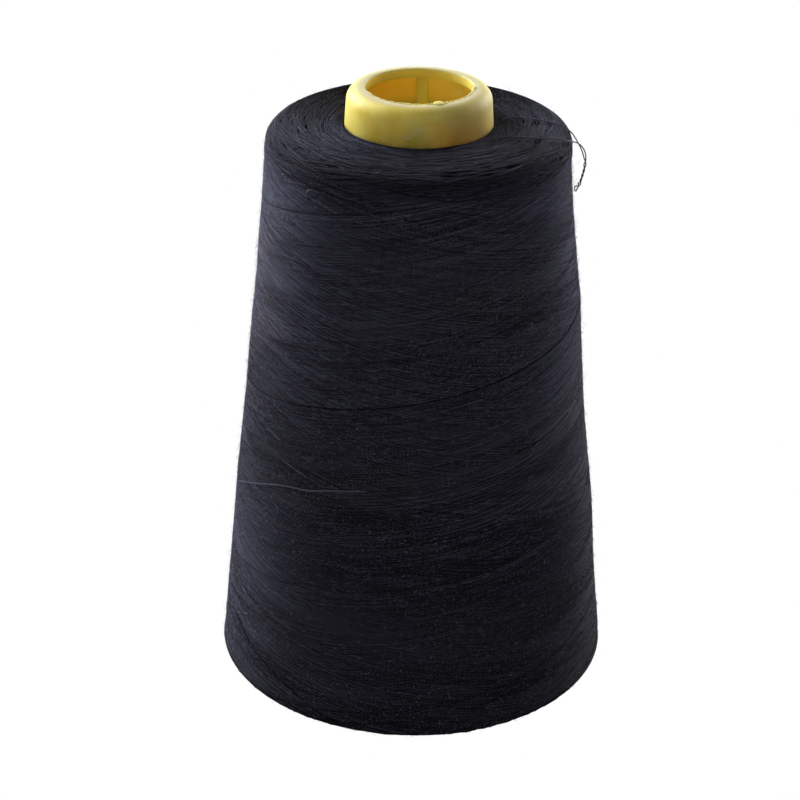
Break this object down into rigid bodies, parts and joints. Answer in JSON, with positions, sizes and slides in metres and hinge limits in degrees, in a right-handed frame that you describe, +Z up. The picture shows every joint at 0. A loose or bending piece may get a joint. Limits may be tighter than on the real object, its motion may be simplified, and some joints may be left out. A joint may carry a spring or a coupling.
{
  "type": "cone of thread",
  "caption": "Tapered moulded core wound with dark navy sewing thread, with a bare rounded nose and a loose snarl of thread that hangs over the shoulder.",
  "frame": {"origin": "centre of the core's foot, on the surface the cone stands on", "axes": "+Z up the core's axis from its wide foot to its narrow nose, +X towards the loose thread, -Y towards the front"},
  "size_m": [0.1072, 0.1072, 0.17],
  "materials": {
    "core_plastic": "yellow moulded plastic, slightly translucent, satin with scuffs and fine specks",
    "wound_thread": "dark navy spun thread, cross wound, matt with a soft fuzz",
    "loose_thread": "dark plied thread, matt, slightly hairy"
  },
  "bodies": {
    "root": {"core": "core_plastic", "wound_thread": "wound_thread", "loose_end": "loose_thread"}
  },
  "joints": []
}
